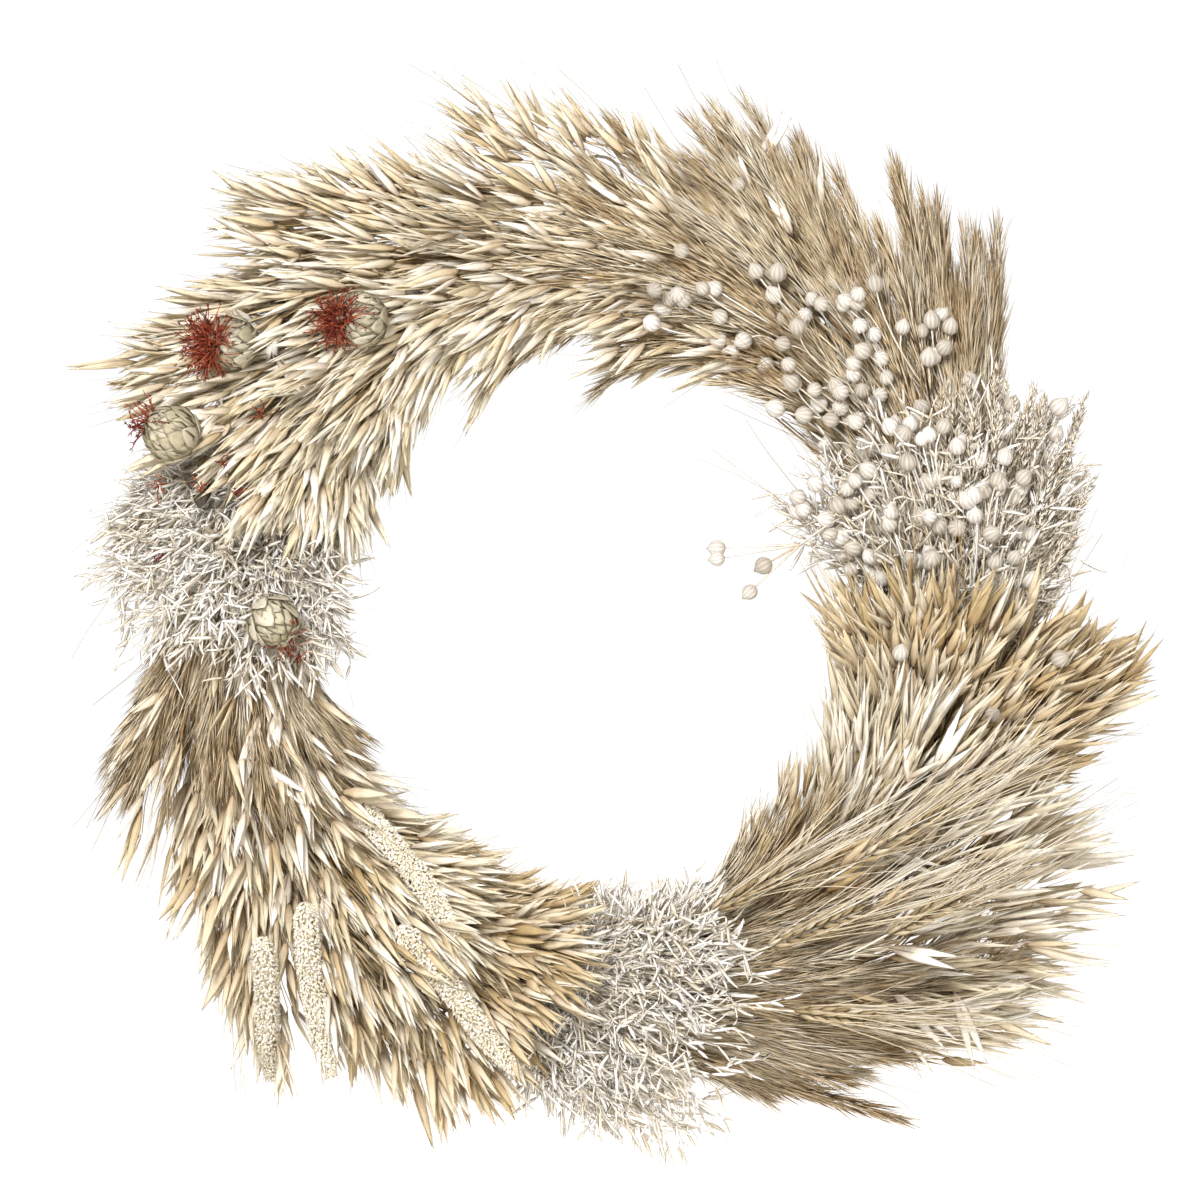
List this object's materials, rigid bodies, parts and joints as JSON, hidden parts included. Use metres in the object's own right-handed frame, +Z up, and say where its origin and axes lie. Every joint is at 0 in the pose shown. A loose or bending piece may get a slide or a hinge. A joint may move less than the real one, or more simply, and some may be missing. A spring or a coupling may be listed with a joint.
{
  "type": "harvest door wreath",
  "caption": "Round door wreath of dried oats, reed grass, statice, flax, millet, wheat and safflower bound on a wire frame with a hinged hanging loop.",
  "frame": {"origin": "on the door's face, behind the inside of the top of the hanging loop, where the nail or hook holds the wreath", "axes": "+X to the wreath's right as seen from the front, +Y from the front of the wreath into the door, +Z up"},
  "size_m": [0.5212, 0.1257, 0.5282],
  "materials": {
    "galvanised_wire": "satin",
    "binding_wire": "matte",
    "pale_oat_straw": "matte",
    "golden_oat_straw": "matte",
    "reed_grass": "matte",
    "bleached_statice": "matte",
    "bleached_flax": "matte",
    "millet_spike": "matte",
    "wheat_ear": "matte",
    "safflower_head": "matte",
    "dry_leaf": "matte"
  },
  "bodies": {
    "wreath": {"binding_wire_01": "binding_wire", "binding_wire_02": "binding_wire", "binding_wire_03": "binding_wire", "binding_wire_04": "binding_wire", "binding_wire_05": "binding_wire", "binding_wire_06": "binding_wire", "binding_wire_07": "binding_wire", "binding_wire_08": "binding_wire", "binding_wire_09": "binding_wire", "binding_wire_10": "binding_wire", "binding_wire_11": "binding_wire", "binding_wire_12": "binding_wire", "binding_wire_13": "binding_wire", "binding_wire_14": "binding_wire", "bundle_01_reed_and_flax": "reed_grass", "bundle_02_reed": "reed_grass", "bundle_03_reed_and_oat": "reed_grass", "bundle_04_pale_oat": "pale_oat_straw", "bundle_05_pale_oat_safflower": "pale_oat_straw", "bundle_06_left_statice": "bleached_statice", "bundle_07_left_reed": "reed_grass", "bundle_08_millet_and_oat": "pale_oat_straw", "bundle_09_golden_oat": "golden_oat_straw", "bundle_10_lower_statice": "bleached_statice", "bundle_11_lower_reed": "reed_grass", "bundle_12_pale_oat_and_wheat": "pale_oat_straw", "bundle_13_right_golden_oat": "golden_oat_straw", "bundle_14_flax_and_statice": "bleached_flax", "frame_cross_tie_1": "galvanised_wire", "frame_cross_tie_2": "galvanised_wire", "frame_cross_tie_3": "galvanised_wire", "frame_cross_tie_4": "galvanised_wire", "frame_cross_tie_5": "galvanised_wire", "frame_cross_tie_6": "galvanised_wire", "frame_cross_tie_7": "galvanised_wire", "frame_inner_ring": "galvanised_wire", "frame_outer_ring": "galvanised_wire", "frame_raised_inner_ring": "galvanised_wire", "frame_raised_outer_ring": "galvanised_wire", "loose_flax_sprig": "bleached_flax", "millet_spike_1": "millet_spike", "millet_spike_2": "millet_spike", "millet_spike_3": "millet_spike", "millet_spike_4": "millet_spike", "safflower_head_1": "safflower_head", "safflower_head_2": "safflower_head", "safflower_head_3": "safflower_head", "safflower_head_4": "safflower_head", "safflower_leaf_1": "dry_leaf", "safflower_leaf_2": "dry_leaf", "safflower_leaf_3": "dry_leaf", "safflower_leaf_4": "dry_leaf", "wheat_ear_1": "wheat_ear", "wheat_ear_2": "wheat_ear", "wheat_ear_3": "wheat_ear", "wheat_ear_4": "wheat_ear", "wheat_ear_5": "wheat_ear"},
    "hanging_loop": {"hanging_loop": "galvanised_wire"}
  },
  "joints": [
    {"name": "hanging_loop_hinge", "type": "hinge", "parent": "wreath", "child": "hanging_loop", "pos_m": [0, -0.02, -0.05403], "axis": [1, 0, 0], "range_deg": [-20, 30]}
  ]
}
